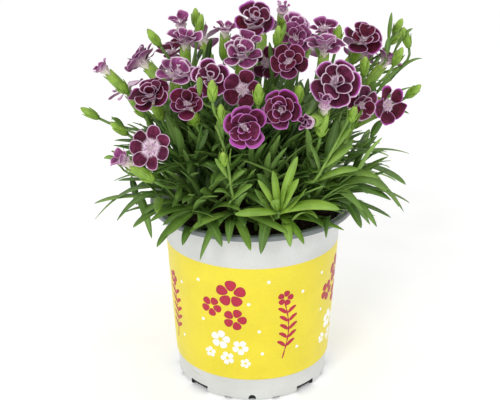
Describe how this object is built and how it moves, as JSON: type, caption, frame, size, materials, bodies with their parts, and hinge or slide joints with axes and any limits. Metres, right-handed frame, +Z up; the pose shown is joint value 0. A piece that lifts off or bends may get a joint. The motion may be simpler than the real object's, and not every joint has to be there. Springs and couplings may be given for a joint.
{
  "type": "dianthus in a pot",
  "caption": "Bushy dianthus with narrow leaves and small double, light-edged burgundy blooms, in a round tapered plastic nursery pot.",
  "frame": {"origin": "centre of the pot's flat underside, on the surface that the pot stands on", "axes": "+Z up along the pot's axis; -Y is the front"},
  "size_m": [0.192, 0.1823, 0.2239],
  "materials": {
    "pot": "satin",
    "soil": "matte",
    "petal": "matte",
    "leaf": "satin"
  },
  "bodies": {
    "root": {"pot": "pot", "soil": "soil", "bloom_01": "petal", "bloom_02": "petal", "bloom_03": "petal", "bloom_04": "petal", "bloom_05": "petal", "bloom_06": "petal", "bloom_07": "petal", "bloom_08": "petal", "bloom_09": "petal", "bloom_10": "petal", "bloom_11": "petal", "bloom_12": "petal", "bloom_13": "petal", "bloom_14": "petal", "bloom_15": "petal", "bloom_16": "petal", "bloom_17": "petal", "bloom_18": "petal", "bloom_19": "petal", "bloom_20": "petal", "bloom_21": "petal", "bloom_22": "petal", "bloom_23": "petal", "bloom_24": "petal", "bloom_25": "petal", "bloom_26": "petal", "bloom_27": "petal", "bloom_28": "petal", "bloom_29": "petal", "bloom_30": "petal", "bloom_31": "petal", "bloom_32": "petal", "bloom_33": "petal", "bloom_34": "petal", "bloom_35": "petal", "bloom_36": "petal", "bloom_37": "petal", "bloom_38": "petal", "bloom_39": "petal", "shoot_01": "leaf", "shoot_02": "leaf", "shoot_03": "leaf", "shoot_04": "leaf", "shoot_05": "leaf", "shoot_06": "leaf", "shoot_07": "leaf", "shoot_08": "leaf", "shoot_09": "leaf", "shoot_10": "leaf", "shoot_11": "leaf", "shoot_12": "leaf", "shoot_13": "leaf", "shoot_14": "leaf", "shoot_15": "leaf", "shoot_16": "leaf", "shoot_17": "leaf", "shoot_18": "leaf", "shoot_19": "leaf"}
  },
  "joints": []
}
